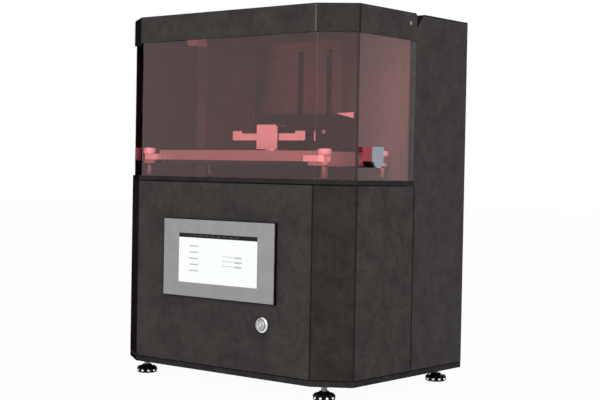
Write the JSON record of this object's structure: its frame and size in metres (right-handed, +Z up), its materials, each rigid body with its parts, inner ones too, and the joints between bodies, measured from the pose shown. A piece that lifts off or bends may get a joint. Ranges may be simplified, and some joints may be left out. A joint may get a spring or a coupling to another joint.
{
  "type": "resin printer",
  "caption": "Desktop resin printer: charcoal sheet-metal cabinet with slanted front corners, rear-hinged tinted hood over a vat and lifting platform, touch screen, levelling feet.",
  "frame": {"origin": "bottom centre of the bounding box, on the floor that the levelling feet stand on", "axes": "+Z up, -Y towards the front with the screen, +X to the right of someone facing the front"},
  "size_m": [0.505, 0.3524, 0.603],
  "materials": {
    "charcoal_sheet": "mottled satin powder coat",
    "dark_plate": "black anodised, satin",
    "hood_metal": "charcoal coat, satin",
    "tinted_pane": "red tint, gloss",
    "clear_window": "gloss",
    "film": "clear film",
    "bare_aluminium": "fine milled",
    "grip_metal": "satin",
    "grip_spacer": "satin",
    "ground_steel": "ground",
    "brass_nut": "machined",
    "button_metal": "turned",
    "black_screws": "black oxide",
    "black_plastic": "moulded",
    "grey_frame": "satin",
    "display": "lit panel",
    "rocker_red": "moulded",
    "light_case": "moulded",
    "board_green": "solder mask"
  },
  "bodies": {
    "cabinet": {"front_panel": "charcoal_sheet", "side_panels": "charcoal_sheet", "rear_sides": "charcoal_sheet", "back_panel": "charcoal_sheet", "rear_top_cover": "charcoal_sheet", "chamber_wall": "charcoal_sheet", "bottom_plate": "dark_plate", "deck_plate": "dark_plate", "exposure_window": "clear_window", "vat_film": "film", "frame_uprights": "bare_aluminium", "column_cover": "bare_aluminium", "vat_posts": "bare_aluminium", "vat_tray": "bare_aluminium", "vat_lugs": "bare_aluminium", "hinge_brackets": "bare_aluminium", "z_column": "bare_aluminium", "z_rails": "ground_steel", "hinge_pins": "ground_steel", "screw_bearings": "ground_steel", "button_housing": "button_metal", "panel_screws": "black_screws", "screen_housing": "black_plastic", "fan_frame": "black_plastic", "mains_inlet": "black_plastic", "projector_lens": "black_plastic", "z_motor": "black_plastic", "screen_bezel": "grey_frame", "screen_display": "display", "projector_body": "light_case", "power_supply": "light_case", "control_board": "board_green"},
    "hood": {"hood_cap": "hood_metal", "hood_panes": "tinted_pane", "hood_side_panel": "hood_metal", "hood_rim": "hood_metal", "hood_cheeks": "hood_metal", "handle_spacer": "grip_spacer", "handle_plate": "grip_metal"},
    "lift": {"carriage_plate": "dark_plate", "carriage_blocks": "ground_steel", "screw_nut": "brass_nut", "carriage_head": "dark_plate", "platform_arm": "dark_plate", "arm_crossbar": "bare_aluminium", "platform_block": "bare_aluminium", "build_platform": "bare_aluminium"},
    "screw": {"lead_screw": "ground_steel", "shaft_coupling": "bare_aluminium"},
    "button": {"button_cap": "button_metal"},
    "fan": {"fan_rotor": "black_plastic"},
    "rocker": {"rocker_switch": "rocker_red"},
    "vat_knob_front_left": {"vat_knob_front_left": "bare_aluminium"},
    "vat_knob_front_right": {"vat_knob_front_right": "bare_aluminium"},
    "vat_knob_rear_left": {"vat_knob_rear_left": "bare_aluminium"},
    "vat_knob_rear_right": {"vat_knob_rear_right": "bare_aluminium"},
    "foot_front_left": {"foot_front_left": "black_plastic"},
    "foot_front_right": {"foot_front_right": "black_plastic"},
    "foot_rear_left": {"foot_rear_left": "black_plastic"},
    "foot_rear_right": {"foot_rear_right": "black_plastic"}
  },
  "joints": [
    {"name": "hood_hinge", "type": "hinge", "parent": "cabinet", "child": "hood", "pos_m": [0, 0.00585, 0.586], "axis": [-1, 0, 0], "range_deg": [0, 45]},
    {"name": "lift_slide", "type": "slide", "parent": "cabinet", "child": "lift", "axis": [0, 0, 1], "range_m": [0, 0.11]},
    {"name": "screw_spin", "type": "hinge", "parent": "cabinet", "child": "screw", "pos_m": [-0.0095, 0.14725, 0.45], "axis": [0, 0, 1], "continuous": true},
    {"name": "button_press", "type": "slide", "parent": "cabinet", "child": "button", "axis": [0, 1, 0], "range_m": [0, 0.002], "stiffness_N_per_m": 1500, "springref_m": -0.001},
    {"name": "fan_spin", "type": "hinge", "parent": "cabinet", "child": "fan", "pos_m": [-0.1295, 0.15925, 0.173], "axis": [0, 1, 0], "continuous": true},
    {"name": "rocker_tilt", "type": "hinge", "parent": "cabinet", "child": "rocker", "pos_m": [0.1205, 0.16725, 0.11], "axis": [-1, 0, 0], "range_deg": [0, 12]},
    {"name": "vat_knob_front_left_turn", "type": "hinge", "parent": "cabinet", "child": "vat_knob_front_left", "pos_m": [-0.1975, -0.13975, 0.38], "axis": [0, 0, 1], "continuous": true},
    {"name": "vat_knob_front_right_turn", "type": "hinge", "parent": "cabinet", "child": "vat_knob_front_right", "pos_m": [0.1785, -0.13975, 0.38], "axis": [0, 0, 1], "continuous": true},
    {"name": "vat_knob_rear_left_turn", "type": "hinge", "parent": "cabinet", "child": "vat_knob_rear_left", "pos_m": [-0.1975, 0.00925, 0.38], "axis": [0, 0, 1], "continuous": true},
    {"name": "vat_knob_rear_right_turn", "type": "hinge", "parent": "cabinet", "child": "vat_knob_rear_right", "pos_m": [0.1785, 0.00925, 0.38], "axis": [0, 0, 1], "continuous": true},
    {"name": "foot_front_left_turn", "type": "hinge", "parent": "cabinet", "child": "foot_front_left", "pos_m": [-0.2025, -0.13575, 0.01], "axis": [0, 0, 1], "continuous": true},
    {"name": "foot_front_right_turn", "type": "hinge", "parent": "cabinet", "child": "foot_front_right", "pos_m": [0.1835, -0.13575, 0.01], "axis": [0, 0, 1], "continuous": true},
    {"name": "foot_rear_left_turn", "type": "hinge", "parent": "cabinet", "child": "foot_rear_left", "pos_m": [-0.2215, 0.14525, 0.01], "axis": [0, 0, 1], "continuous": true},
    {"name": "foot_rear_right_turn", "type": "hinge", "parent": "cabinet", "child": "foot_rear_right", "pos_m": [0.2025, 0.14525, 0.01], "axis": [0, 0, 1], "continuous": true}
  ],
  "couplings": [
    {"joint": "screw_spin", "follows": "lift_slide", "rad_per_m": -628.32}
  ]
}
